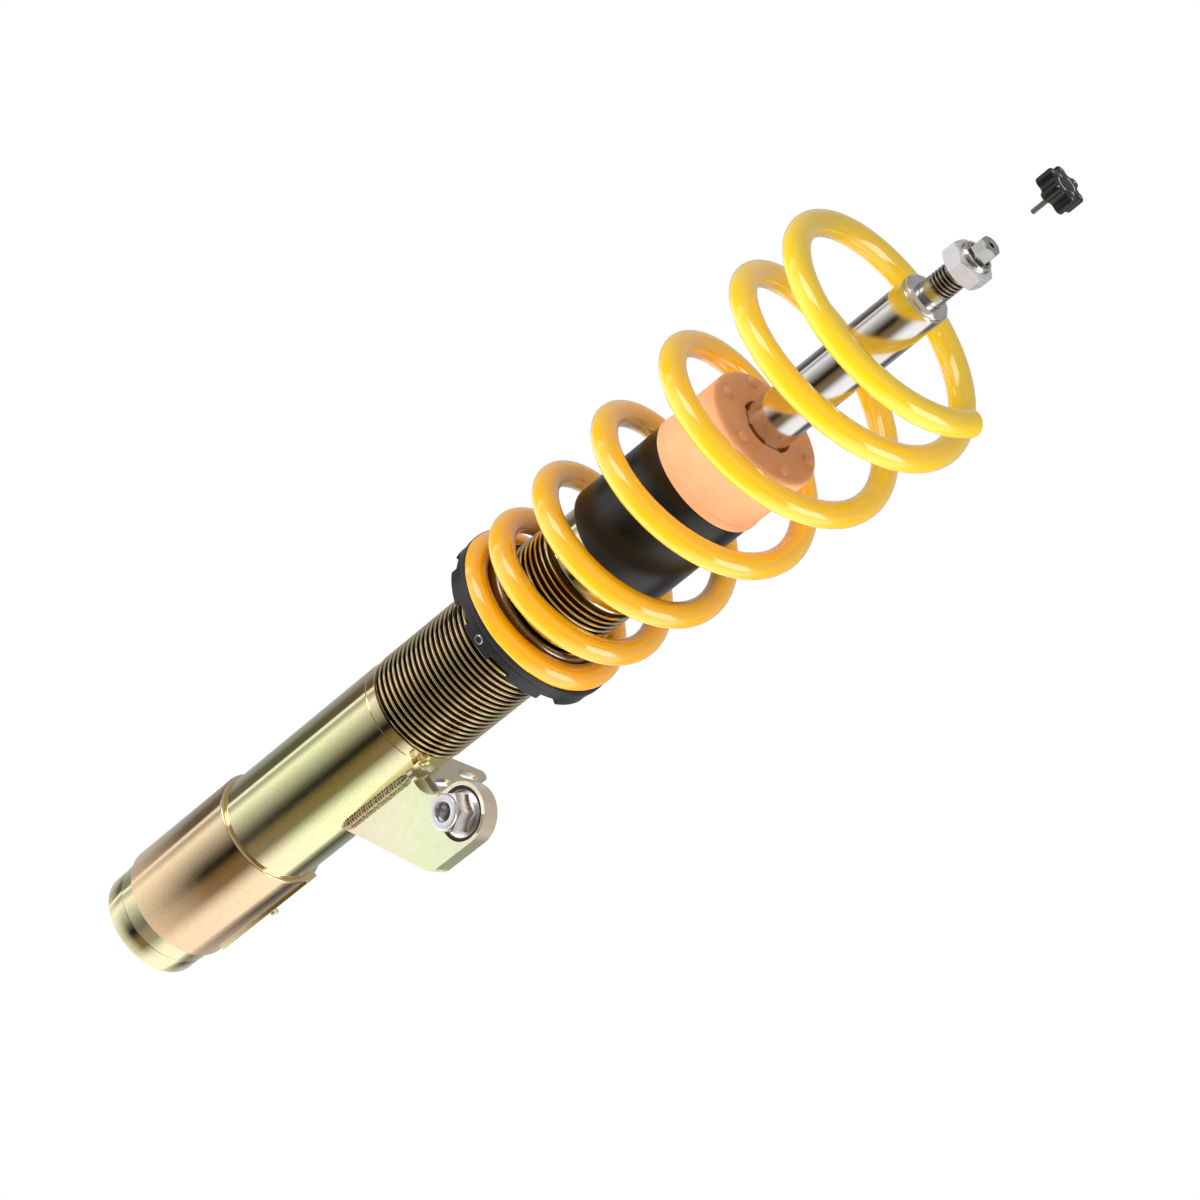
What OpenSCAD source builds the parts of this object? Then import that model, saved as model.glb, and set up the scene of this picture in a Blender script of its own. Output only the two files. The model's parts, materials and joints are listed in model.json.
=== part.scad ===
// Coilover strut: threaded twin-tube damper with a road spring on an adjustable seat.
// Origin at the centre of the strut's foot, +Z up along the rod. Lengths in millimetres.

/* [Strut] */
// Outer diameter of the strut tube
tube_d = 51; // [50.6:0.1:51.4]
// Outer diameter of the sleeve that the wheel carrier clamps
clamp_d = 55; // [54:0.1:56]
// Height of the lower end of the clamp sleeve
clamp_z = 20.1; // [19:0.1:22]
// Length of the clamp sleeve
clamp_len = 64.5; // [62:0.5:66]
// Height where the tube's thread starts
thread_z = 185; // [184:1:186]
// Number of turns of thread
thread_turns = 37; // [30:1:37]
// Pitch of the tube's thread
thread_pitch = 3; // [2.8:0.1:3]
// Height of the top of the strut tube
head_z = 355; // [354:0.5:355]

/* [Rod] */
// Piston rod diameter
rod_d = 22; // [21.9:0.1:22]
// Stud diameter at the rod's ends
stud_d = 12; // [11.9:0.1:12]
// Height of the rod's upper shoulder
shoulder_z = 486; // [486:1:492]
// Width across flats of the top nut
top_nut_af = 18.2; // [17:0.2:18.6]
// Gap between the parked adjuster knob and its seated place
knob_lift = 31; // [20:1:40]

/* [Spring] */
// Wire diameter
wire_d = 11.3; // [10.5:0.1:11.4]
// Coil radius at the lower end, to the wire's centre
coil_r = 35.1; // [35:0.1:36]
// Number of turns from the ground end
coil_turns = 6.8; // [6:0.1:6.8]
// Height of the face that the spring stands on
seat_z = 261.3; // [255:0.1:262]

/* [Link bracket] */
// Direction in which the link bracket points
link_angle = -30; // [-40:1:-20]
// Thickness of the link bracket
link_t = 8; // [7:0.5:9]
// Radial distance of the link bolt from the rod's axis
link_r = 54.2; // [53:0.1:55]
// Height of the link bolt
link_z = 188.3; // [187:0.1:189]
// Core radius of the thread in the link nut
link_bore_r = 4.25; // [4:0.05:5]

/* [Hidden] */
$fn = 96;
gap = 0.02;                     // fixed pieces that are put together
slip = 0.05;                    // running clearance of shafts in bores
clear = 0.3;                    // clearance of parts that pass each other
tube_r = tube_d / 2;
tube_bore_r = tube_r - 4;
tube_z = 10.9;                  // the foot cap's seam lies below this
thread_top = thread_z + thread_turns * thread_pitch;
thread_depth = 1.3;
relief_z = thread_z - 5.7;
relief_r = tube_r - 0.5;
neck_r = tube_r - 2;
clamp_r = clamp_d / 2;
strip_w = 9;
strip_t = 1.2;
rod_r = rod_d / 2;
stud_r = stud_d / 2;
needle_r = 2;
key_af = 1.8;
pressure_r = 18;                // bore of the inner tube
piston_z = 244;
piston_h = 16;
rod_foot_z = piston_z + piston_h + 2;
guide_z = 332;
nut_z = shoulder_z + 18.4;
nut_h = 11.6;
rod_top_z = nut_z + nut_h + 6;
knob_z = rod_top_z + knob_lift + 0.2;
flange_r = 40.2;
perch_bore_r = tube_r + clear;
collar_z = seat_z - 9.7;
collar_h = 6.5;
notch_count = 9;
screw_angle = -99;
screw_z = collar_z + 3.1;
screw_r = 2.3;
bump_z = 362.7;
// Rise of the coil in mm per turn, at these turns from the ground end
RISE = [[0, 4.4], [0.35, 10], [1.6, 28], [3.35, 43.5], [4.2, 45], [4.65, 39], [4.95, 44], [5.3, 50],
    [5.7, 34], [6.15, 24], [6.85, 20]];
// Growth of the coil's radius in mm per turn, at these turns from the ground end
FLARE = [[0.95, 0], [1.35, 3.6], [4.95, 3.8], [5.95, 0]];
coil_start_angle = 54;
rings_per_turn = 22;
wire_sides = 12;

// ---- shared shapes ----

// A round tube or ring from z0 to z1
module ring(inner, outer, z0, z1) {
    rotate_extrude() translate([inner, z0]) square([outer - inner, z1 - z0]);
}

// A solid of revolution from [radius, height] points
module turned(points) {
    rotate_extrude() polygon(points);
}

// A hexagonal prism of the given width across flats
module hexagon(af, h) {
    cylinder(r = af / sqrt(3), h = h, $fn = 6);
}

// A hexagonal prism with its corners turned down on both ends
module chamfered_hexagon(af, h) {
    corner_r = af / sqrt(3);
    bevel = (corner_r - af / 2) * 1.1;
    drop = bevel * 0.6;
    intersection() {
        hexagon(af, h);
        turned([[0, 0], [corner_r - bevel, 0], [corner_r, drop], [corner_r, h - drop],
            [corner_r - bevel, h], [0, h]]);
    }
}

// Points on an arc about c
function arc(c, r, from, to) = [for (i = [0 : 8])
    let (a = from + (to - from) * i / 8) c + r * [cos(a), sin(a)]];

// A slot with round ends from p to q
module slot(p, q, w) {
    way = atan2(q[1] - p[1], q[0] - p[0]);
    polygon(concat(arc(q, w / 2, way - 90, way + 90), arc(p, w / 2, way + 90, way + 270)));
}

// Stands a [radius, height] outline up as a plate in the link bracket's plane
module link_plate(t) {
    rotate(link_angle) rotate([90, 0, 0]) linear_extrude(t, center = true) children();
}

// Puts children on the link bolt's axis, +Z pointing out of the bracket's front face
module at_link_bolt() {
    rotate(link_angle) translate([link_r, -link_t / 2, link_z]) rotate([90, 0, 0]) children();
}

// Area under a table of [turn, value] pairs from its first turn up to t
function area(table, t) = let (parts = [
        for (i = [0 : len(table) - 2])
            let (a = table[i][0], x = min(max(t, a), table[i + 1][0]))
                (x - a) * (table[i][1] + lookup(x, table)) / 2
    ]) parts * [for (p = parts) 1];

// ---- strut body ----

module foot_cap() {
    cap_r = tube_r - 0.3;
    bevel = 1;
    color("#a99b6c") turned([[0, 0], [cap_r - bevel, 0], [cap_r - 0.3 * bevel, 0.3 * bevel], [cap_r, bevel],
        [cap_r, tube_z - 0.5], [tube_bore_r - gap, tube_z - 0.5], [tube_bore_r - gap, 16], [0, 16]]);
}

module strut_tube() {
    root_r = tube_r - thread_depth;
    ridges = [for (i = [0 : thread_turns - 1], p = [[root_r, 0.1], [tube_r, 1], [tube_r, 1.6], [root_r, 2.5]])
        [p[0], thread_z + (i + p[1] / 3) * thread_pitch]];
    color("#b3a775") turned(concat(
        [[tube_bore_r, tube_z], [tube_r, tube_z], [tube_r, relief_z], [relief_r, relief_z],
            [relief_r, thread_z - 0.4], [root_r, thread_z]],
        ridges,
        [[root_r, thread_top], [neck_r, thread_top + 1.2], [neck_r, head_z - 1.5],
            [neck_r - 0.8, head_z], [tube_bore_r, head_z]]));
}

module clamp_sleeve() {
    top = clamp_z + clamp_len;
    color("#c49a73") turned([[tube_r + gap, clamp_z], [clamp_r - 0.6, clamp_z], [clamp_r, clamp_z + 0.6],
        [clamp_r, top - 1.4], [clamp_r - 0.5, top - 0.4], [clamp_r - 1.4, top], [tube_r + gap, top]]);
}

module locating_strip() {
    color("#a89a6e") difference() {
        translate([clamp_r - 2, -strip_w / 2, clamp_z + 4.3]) cube([strip_t + 2, strip_w, clamp_len - 4.7]);
        cylinder(r = clamp_r + gap, h = 200);
    }
}

module locating_pin() {
    color("#c9b98a") translate([clamp_r + strip_t + gap, 0, clamp_z + 36.4]) rotate([0, 90, 0])
        cylinder(d = 4.4, h = 2);
}

// Point where the line from p touches the circle about c on its right-hand side
function touch_point(p, c, r) = let (d = c - p, turn = atan2(d[1], d[0]) - asin(r / norm(d)))
    p + sqrt(d * d - r * r) * [cos(turn), sin(turn)];

module link_outline() {
    foot = [tube_r - 1, link_z - 62.3];
    corner = [link_r + 5.6, link_z - 22.3];
    corner_r = 8;
    boss = [link_r, link_z];
    boss_r = 13.6;
    cove = [link_r - 27.4, link_z - 3.4];
    difference() {
        union() {
            polygon([foot, touch_point(foot, corner, corner_r), corner, [link_r + boss_r, corner[1]],
                [link_r + boss_r, link_z], boss, cove, [tube_r - 1, cove[1]]]);
            translate(corner) circle(corner_r);
            translate(boss) circle(boss_r);
        }
        translate(cove) circle(norm(boss - cove) - boss_r);
    }
}

module link_bracket() {
    recess_r = 11.8;
    recess_depth = 1.6;
    shank_r = 7;
    color("#cfc79a") difference() {
        link_plate(link_t) link_outline();
        cylinder(r = tube_r + gap, h = 300);
        at_link_bolt() translate([0, 0, -recess_depth]) cylinder(r = recess_r, h = 5);
        at_link_bolt() translate([0, 0, -link_t - 1]) cylinder(r = shank_r + gap, h = link_t + 2);
    }
}

module link_bracket_weld() {
    bead_r = 3;
    color("#8d8458") difference() {
        rotate(link_angle) for (side = [-1, 1])
            translate([tube_r - 0.6, side * (link_t / 2 + 2), link_z - 61.8]) cylinder(r = bead_r, h = 44.5);
        cylinder(r = tube_r + gap, h = 300);
        rotate(link_angle) translate([0, -link_t / 2 - gap, 0]) cube([80, link_t + 2 * gap, 300]);
    }
}

module link_nut() {
    seat = -1.6;
    color("silver") at_link_bolt() difference() {
        union() {
            translate([0, 0, seat]) cylinder(r = 10.3, h = 2);
            translate([0, 0, seat + 2]) chamfered_hexagon(15.6, 6.4);
            translate([0, 0, seat + 2]) cylinder(r = 7.5, h = 10.4);
            translate([0, 0, -link_t]) cylinder(r = 7, h = link_t + seat);
        }
        translate([0, 0, -link_t - 1]) cylinder(r = link_bore_r, h = 30);
    }
}

module line_bracket() {
    sheet_z = link_z - 11.3;
    sheet_t = 3;
    color("#b5a183") translate([0, 0, sheet_z]) difference() {
        linear_extrude(sheet_t) difference() {
            polygon(concat([[24, 1.2]], arc([38.9, 11.6], 2.6, 131, -20), [[37.8, -6], [35.8, -13],
                [33, -20.5], [24, -19.5]], arc([20.3, -24.6], 3, 10, -190), [[17, -17.5]]));
            circle(tube_r + gap);
            slot([33, 0.8], [37.7, 7], 3.6);
            slot([29.4, -17], [32.3, -10.7], 3.6);
        }
    }
}

module inner_tube() {
    color("lightgray") ring(pressure_r, pressure_r + 1.2, 19.1, guide_z + 4);
}

module base_valve() {
    color("gray") difference() {
        union() {
            ring(0, tube_bore_r - 0.1, 16, 19);
            ring(0, pressure_r - gap, 19, 28);
        }
        for (a = [0 : 60 : 300]) rotate(a) translate([11, 0, 15]) cylinder(r = 1.5, h = 20, $fn = 32);
    }
}

module rod_guide() {
    color("gray") difference() {
        union() {
            ring(rod_r + 1, pressure_r - gap, guide_z, guide_z + 4.1);
            ring(rod_r + 1, tube_bore_r - gap, guide_z + 4.1, guide_z + 14);
        }
        ring(19, tube_bore_r + 1, guide_z + 8, guide_z + 10.6);
    }
}

module guide_bush() {
    color("darkgoldenrod") ring(rod_r + slip, rod_r + 1 - gap, guide_z + 1, guide_z + 14);
}

module guide_o_ring() {
    color("black") rotate_extrude() translate([tube_bore_r - 1.25, guide_z + 9.3]) circle(1.2, $fn = 24);
}

module rod_seal() {
    color("black") turned([[rod_r + slip, guide_z + 14.1], [tube_bore_r - 0.1, guide_z + 14.1],
        [tube_bore_r - 0.1, guide_z + 19], [rod_r + 3, guide_z + 19], [rod_r + slip, guide_z + 17]]);
}

module head_nut() {
    color("dimgray") difference() {
        ring(rod_r + 1, tube_bore_r - gap, guide_z + 19.1, head_z + 1);
        for (a = [45 : 90 : 315]) rotate(a) translate([17, 0, guide_z + 20.6])
            cylinder(r = 1.75, h = 10, $fn = 32);
    }
}

// ---- rod body ----

module piston_rod() {
    hex_af = 8.4;
    hex_z = nut_z + nut_h - 2.5;
    bevel = 1;
    color("#d6d6d8") difference() {
        union() {
            turned([[0, piston_z - 12], [stud_r, piston_z - 12], [stud_r, rod_foot_z], [rod_r, rod_foot_z],
                [rod_r, shoulder_z - bevel], [rod_r - bevel, shoulder_z], [stud_r, shoulder_z],
                [stud_r, hex_z], [0, hex_z]]);
            translate([0, 0, hex_z - 1]) rotate(27) chamfered_hexagon(hex_af, rod_top_z - hex_z + 1);
        }
        translate([0, 0, piston_z - 20]) cylinder(r = needle_r + slip, h = rod_top_z - 6 - piston_z + 20);
        translate([0, 0, rod_top_z - 10]) cylinder(r = 1.4, h = 20);
    }
}

module rebound_stop() {
    color("gray") ring(rod_r + gap, 16.5, guide_z - 12.5, guide_z - 0.5);
}

module piston() {
    color("slategray") difference() {
        ring(stud_r + gap, pressure_r - 0.4, piston_z, piston_z + piston_h);
        ring(16.6, pressure_r + 1, piston_z + 3, piston_z + 13);
        for (a = [0 : 60 : 300]) rotate(a) translate([10.5, 0, piston_z - 1])
            cylinder(r = 1.6, h = 20, $fn = 32);
    }
}

module piston_band() {
    color("#4a3a2c") ring(16.62, pressure_r - slip, piston_z + 3.05, piston_z + 12.95);
}

// A stack of spring-steel discs that get smaller away from the piston
module shim_stack(z, direction) {
    for (i = [0 : 3]) translate([0, 0, z + direction * (i + 0.5) * 0.5])
        difference() {
            cylinder(r = 14.5 - 1.5 * i, h = 0.5, center = true);
            cylinder(r = stud_r + gap, h = 2, center = true);
        }
}

module compression_shims() {
    color("lightsteelblue") shim_stack(piston_z + piston_h, 1);
}

module rebound_shims() {
    color("lightsteelblue") shim_stack(piston_z, -1);
}

module piston_nut() {
    color("gray") translate([0, 0, piston_z - 11]) difference() {
        chamfered_hexagon(17, 9);
        translate([0, 0, -1]) cylinder(r = stud_r + gap, h = 12);
    }
}

module support_washer() {
    outer = rod_r - 0.1;
    color("silver") turned([[stud_r + gap, shoulder_z + gap], [outer - 0.3, shoulder_z + gap],
        [outer, shoulder_z + 0.3], [outer, shoulder_z + 1.2], [outer - 1.2, shoulder_z + 2.4],
        [stud_r + gap, shoulder_z + 2.4]]);
}

module top_nut() {
    hex_h = 8.6;
    color("silver") translate([0, 0, nut_z]) rotate(18) difference() {
        union() {
            chamfered_hexagon(top_nut_af, hex_h);
            translate([0, 0, hex_h]) cylinder(r1 = 7.5, r2 = 6.9, h = nut_h - hex_h);
        }
        translate([0, 0, -1]) cylinder(r = stud_r + gap, h = 20);
    }
}

// ---- rebound adjuster ----

module rebound_needle() {
    top = rod_top_z - 6.5;
    color("goldenrod") difference() {
        union() {
            translate([0, 0, piston_z - 12]) cylinder(r = needle_r, h = top - piston_z + 12);
            translate([0, 0, piston_z - 16]) cylinder(r1 = 0.6, r2 = needle_r, h = 4);
        }
        translate([0, 0, top - 5]) hexagon(key_af + 0.3, 10);
    }
}

module knob_key() {
    color("silver") translate([0, 0, knob_z - 10.2]) hexagon(key_af, 12.2);
}

module adjuster_knob() {
    knob_h = 7.8;
    mean_r = 8.05;
    lobes = 6;
    lobe_rise = 1.25;
    step = 5;
    outline = [for (a = [0 : step : 360 - step])
        let (wave = cos(lobes * a), r = mean_r + lobe_rise * sign(wave) * pow(abs(wave), 0.6))
            r * [cos(a), sin(a)]];
    color("#26262a") translate([0, 0, knob_z]) difference() {
        linear_extrude(knob_h) rotate(20) polygon(outline);
        translate([0, 0, -1]) hexagon(key_af + 2 * gap, 3 + gap);
    }
}

// ---- bump stop ----

module bump_stop() {
    foam_r = 27.1;
    foam_h = 35.4;
    top = bump_z + foam_h;
    bore_r = rod_r + clear;
    pocket_depth = 6;
    pocket_angle = 52;
    nub_at = 21.8;
    nub_r = 2.9;
    color("#f0a673") difference() {
        union() {
            turned([[bore_r, bump_z - 5.6], [18, bump_z - 5.6], [18, bump_z - 2.6], [16, bump_z - 2.6],
                [16, bump_z], [foam_r, bump_z], [foam_r + 0.4, bump_z + 1.2], [foam_r + 0.4, bump_z + 3],
                [foam_r, bump_z + 4], [foam_r, top - 2], [foam_r - 2, top], [bore_r, top]]);
            for (i = [0 : 5]) rotate(22.5 + i * 60) translate([nub_at, 0, top - 0.9])
                sphere(r = nub_r, $fn = 32);
        }
        for (i = [0 : 3]) rotate(i * 90 - 2 - pocket_angle / 2) translate([0, 0, top - pocket_depth])
            rotate_extrude(angle = pocket_angle) translate([bore_r - 1, 0]) square([2, pocket_depth + 1]);
    }
}

module dust_tube() {
    wall_r = 26.9;
    bore_r = wall_r - 2.2;
    foot_z = bump_z - 50;
    color("#1f1f22") turned([[bore_r, foot_z], [wall_r - 1.8, foot_z], [wall_r - 0.5, foot_z + 0.8],
        [wall_r, foot_z + 2.3], [wall_r, bump_z - 0.6], [wall_r - 0.6, bump_z - gap],
        [16 + gap, bump_z - gap], [16 + gap, bump_z - 2.6 + gap], [bore_r, bump_z - 2.6 + gap]]);
}

// ---- ride height ----

module spring_seat() {
    hub_r = 29;
    color("#2c2c30") turned([[perch_bore_r, seat_z - 2.9], [flange_r - 0.5, seat_z - 2.9],
        [flange_r, seat_z - 2.4], [flange_r, seat_z - 0.5], [flange_r - 0.5, seat_z], [hub_r, seat_z],
        [hub_r, seat_z + 5.2], [hub_r - 0.6, seat_z + 6.6], [hub_r - 2, seat_z + 7.2],
        [perch_bore_r, seat_z + 7.2]]);
}

// One ring of points around the wire, from one edge of the ground face round to the other
function wire_ring(t) =
    let (a = coil_start_angle + 360 * t, r = coil_r + area(FLARE, t), z = seat_z - 4.12 + area(RISE, t),
        wire_r = wire_d / 2, open = 180 / wire_sides - 90,
        first = max(open, asin(min(1, max(-1, (seat_z + gap - z) / wire_r)))),
        step = (180 - 2 * first) / (wire_sides - 1))
        [for (k = [0 : wire_sides - 1]) let (b = first + k * step, rr = r + wire_r * cos(b))
            [rr * cos(a), rr * sin(a), z + wire_r * sin(b)]];

module coil_spring() {
    n = round(coil_turns * rings_per_turn);
    points = [for (i = [0 : n]) each wire_ring(i * coil_turns / n)];
    sides = [for (i = [0 : n - 1], k = [0 : wire_sides - 1])
        let (a = i * wire_sides + k, b = i * wire_sides + (k + 1) % wire_sides)
            [a, a + wire_sides, b + wire_sides, b]];
    ends = [[for (k = [0 : wire_sides - 1]) k],
        [for (k = [wire_sides - 1 : -1 : 0]) n * wire_sides + k]];
    color("#f7b500") polyhedron(points, concat(sides, ends), convexity = 12);
}

module adjusting_collar() {
    outer = flange_r - 0.6;
    notch_w = 11;
    notch_h = 3;
    color("#2a2b2f") difference() {
        turned([[perch_bore_r, collar_z], [outer - 0.4, collar_z], [outer, collar_z + 0.4],
            [outer, collar_z + collar_h - 0.4], [outer - 0.4, collar_z + collar_h],
            [perch_bore_r, collar_z + collar_h]]);
        for (i = [0 : notch_count - 1]) rotate(screw_angle + (i + 0.5) * 360 / notch_count)
            translate([perch_bore_r - 1, -notch_w / 2, collar_z - 1]) cube([20, notch_w, notch_h + 1]);
        rotate(screw_angle) translate([perch_bore_r - 2, 0, screw_z]) rotate([0, 90, 0])
            cylinder(r = screw_r + gap, h = 20);
    }
}

module clamp_screw() {
    color("silver") rotate(screw_angle) translate([perch_bore_r + 1.5, 0, screw_z]) rotate([0, 90, 0])
        difference() {
            cylinder(r = screw_r, h = 11.6);
            translate([0, 0, 8.6]) hexagon(2.5, 5);
        }
}

foot_cap();
strut_tube();
clamp_sleeve();
locating_strip();
locating_pin();
link_bracket();
link_bracket_weld();
link_nut();
line_bracket();
inner_tube();
base_valve();
rod_guide();
guide_bush();
guide_o_ring();
rod_seal();
head_nut();
piston_rod();
rebound_stop();
piston();
piston_band();
compression_shims();
rebound_shims();
piston_nut();
support_washer();
top_nut();
rebound_needle();
knob_key();
adjuster_knob();
bump_stop();
dust_tube();
spring_seat();
coil_spring();
adjusting_collar();
clamp_screw();
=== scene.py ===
"""Looks of the coilover strut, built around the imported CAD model. Lengths in the builders are in millimetres."""

import json
import math

import bmesh
import bpy
from mathutils import Matrix, Vector


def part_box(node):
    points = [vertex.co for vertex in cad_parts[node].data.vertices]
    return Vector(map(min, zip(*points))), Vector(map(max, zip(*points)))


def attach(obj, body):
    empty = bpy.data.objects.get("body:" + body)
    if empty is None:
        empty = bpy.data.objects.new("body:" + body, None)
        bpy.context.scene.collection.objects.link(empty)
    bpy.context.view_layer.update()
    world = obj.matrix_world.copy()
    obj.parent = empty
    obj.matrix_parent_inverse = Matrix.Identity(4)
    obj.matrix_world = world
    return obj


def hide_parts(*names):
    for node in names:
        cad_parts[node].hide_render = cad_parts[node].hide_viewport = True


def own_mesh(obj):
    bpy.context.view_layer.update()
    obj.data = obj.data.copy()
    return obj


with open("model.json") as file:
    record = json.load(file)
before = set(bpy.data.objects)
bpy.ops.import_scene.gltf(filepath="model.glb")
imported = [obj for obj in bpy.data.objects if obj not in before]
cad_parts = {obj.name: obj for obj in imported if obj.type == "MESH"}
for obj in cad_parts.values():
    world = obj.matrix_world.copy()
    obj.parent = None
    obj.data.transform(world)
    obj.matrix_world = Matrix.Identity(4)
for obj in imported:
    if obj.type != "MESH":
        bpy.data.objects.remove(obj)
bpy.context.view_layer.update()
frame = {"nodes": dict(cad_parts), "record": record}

MM = 0.001
TURN = 2 * math.pi


# ---------------------------------------------------------------- places read from the frame

def top(node):
    """Highest point of a CAD node, in mm."""
    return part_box(node)[1].z / MM


def foot(node):
    """Lowest point of a CAD node, in mm."""
    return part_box(node)[0].z / MM


def radius(node):
    """Largest distance from the rod's axis along Y, in mm."""
    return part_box(node)[1].y / MM


def box(node):
    """Lowest and highest corner of a CAD node, in mm."""
    return [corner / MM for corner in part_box(node)]


TUBE_R = radius("strut_tube")
SLEEVE_R = radius("clamp_sleeve")
ROD_R = radius("piston_rod")
SEAT_Z = foot("coil_spring")
THREAD_START, THREAD_END = 185.0, 296.0
SCREW_ANGLE = math.radians(-99)
LOBE_ANGLE = math.radians(20)

# The link bracket's direction, the middle of its boss, its thickness, and the depth of its recess
LINK_ANGLE = math.radians(-30)
LINK_R = 54.2
LINK_Z = 188.3
LINK_T = 8.0
RECESS = 4.0


def placed(name, data):
    """A new object in the scene."""
    made = bpy.data.objects.new(name, data)
    bpy.context.scene.collection.objects.link(made)
    return made


# ---------------------------------------------------------------- camera

def make_camera():
    """The photograph's point of view: from above, with the strut's axis rolled across the picture."""
    place = Vector((9.1, -1424.6, 1159.7)) * MM
    target = Vector((12.1, 0.0, 287.5)) * MM
    roll = math.radians(51.286)
    data = bpy.data.cameras.new("camera")
    data.sensor_width = 36
    data.lens = 122.7
    data.clip_start = 0.05
    data.clip_end = 50
    camera = placed("camera", data)
    look = (target - place).to_track_quat("-Z", "Y").to_matrix().to_4x4()
    camera.matrix_world = Matrix.Translation(place) @ look @ Matrix.Rotation(roll, 4, "Z")
    bpy.context.scene.camera = camera


# ---------------------------------------------------------------- node materials

class Nodes:
    """A small helper that adds and joins nodes."""

    def __init__(self, tree):
        self.tree = tree

    def add(self, kind, inputs=None, **settings):
        node = self.tree.nodes.new(kind)
        for key, value in settings.items():
            setattr(node, key, value)
        for key, value in (inputs or {}).items():
            if isinstance(value, bpy.types.NodeSocket):
                self.tree.links.new(value, node.inputs[key])
            else:
                node.inputs[key].default_value = value
        return node

    def noise(self, vector, scale, detail=3.0, roughness=0.5):
        made = {"Vector": vector, "Scale": scale, "Detail": detail, "Roughness": roughness}
        return self.add("ShaderNodeTexNoise", made).outputs["Fac"]

    def math(self, operation, a, b=0.0, c=0.0):
        return self.add("ShaderNodeMath", {0: a, 1: b, 2: c}, operation=operation).outputs[0]

    def line(self, value, slope, start):
        return self.math("MULTIPLY_ADD", value, slope, start)

    def ramp(self, factor, stops):
        """Stops are (position, colour). A colour is a tuple, or one number for a grey."""
        node = self.add("ShaderNodeValToRGB", {"Fac": factor})
        elements = node.color_ramp.elements
        while len(elements) < len(stops):
            elements.new(0.5)
        for element, (position, colour) in zip(elements, stops):
            element.position = position
            element.color = (*colour, 1) if isinstance(colour, tuple) else (colour, colour, colour, 1)
        return node.outputs["Color"]

    def mix(self, factor, a, b, blend="MIX"):
        node = self.add("ShaderNodeMix", {0: factor, 6: a, 7: b}, data_type="RGBA", blend_type=blend)
        return node.outputs[2]

    def multiply(self, a, b):
        return self.mix(1.0, a, b, "MULTIPLY")

    def scaled(self, vector, scale):
        return self.add("ShaderNodeMapping", {"Vector": vector, "Scale": scale}).outputs["Vector"]

    def parts(self, vector):
        return self.add("ShaderNodeSeparateXYZ", {"Vector": vector}).outputs

    def bump(self, height, strength, distance):
        made = {"Height": height, "Strength": strength, "Distance": distance}
        return self.add("ShaderNodeBump", made).outputs["Normal"]

    def finish(self, shader, colour, roughness, normal):
        """Joins what varies over a surface to its shader."""
        for key, socket in (("Base Color", colour), ("Roughness", roughness), ("Normal", normal)):
            self.tree.links.new(socket, shader.inputs[key])


def empty_nodes(owner):
    """The emptied node tree of a material or a world."""
    owner.use_nodes = True
    owner.node_tree.nodes.clear()
    return Nodes(owner.node_tree)


MATERIALS = {}


def new_material(name, **fixed):
    """Registers a material with a Principled shader, whose uniform values are set on its own sockets.
    Gives its nodes, its shader and the object's coordinates."""
    material = MATERIALS[name] = bpy.data.materials.new(name)
    n = empty_nodes(material)
    shader = n.add("ShaderNodeBsdfPrincipled", {key.replace("_", " "): value for key, value in fixed.items()})
    n.add("ShaderNodeOutputMaterial", {"Surface": shader.outputs[0]})
    return n, shader, n.add("ShaderNodeTexCoord").outputs["Object"]


def plated_steel(name, base, tint, shade, rough=0.09, groove=None, bands=None):
    """Yellow zinc plating: its colour drifts in soft clouds, over fine turning marks.
    A groove gives the radii (in mm) between which a thread's root is darkened with painted shade, and its lower and
    upper end.
    Bands give tints at shares of the first 300 mm of height."""
    n, shader, where = new_material(name, Metallic=1.0)
    clouds = n.noise(n.scaled(where, (28, 28, 9)), 1.0, 2.0)
    colour = n.ramp(clouds, [(0.30, tint), (0.5, base), (0.72, shade)])
    if bands:
        span = 0.3
        share = n.line(n.noise(where, 22, 1.0), 0.16, n.line(n.parts(where)["Z"], 1 / span, -0.08))
        colour = n.multiply(colour, n.ramp(share, bands))
    specks = n.noise(where, 900, 4.0, 0.7)
    colour = n.multiply(colour, n.ramp(specks, [(0.35, 0.88), (0.6, 1)]))
    if groove:
        inner, outer, start, end = groove
        at = n.parts(where)
        flat = n.add("ShaderNodeCombineXYZ", {0: at["X"], 1: at["Y"]})
        away = n.add("ShaderNodeVectorMath", {0: flat.outputs[0]}, operation="LENGTH").outputs["Value"]
        share = n.line(away, 1 / (outer - inner) / MM, -inner / (outer - inner))
        over, under = n.math("GREATER_THAN", at["Z"], end * MM), n.math("LESS_THAN", at["Z"], start * MM)
        outside_root_shade = n.math("MAXIMUM", share, n.math("MAXIMUM", over, under))
        # Painted shade: the colour darkens towards the thread's root, standing in for the shade deep in the groove.
        painted_root_shade = n.ramp(outside_root_shade, [(0.0, (0.07, 0.045, 0.02)), (0.5, (0.40, 0.33, 0.24)), (1.0, 1)])
        colour = n.multiply(colour, painted_root_shade)
    marks = n.noise(n.scaled(where, (40, 40, 2600)), 1.0, 3.0, 0.6)
    smears = n.noise(where, 160, 5.0, 0.65)
    n.finish(shader, colour, n.line(smears, 0.08, rough - 0.04), n.bump(marks, 0.03, 0.00006))


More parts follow.
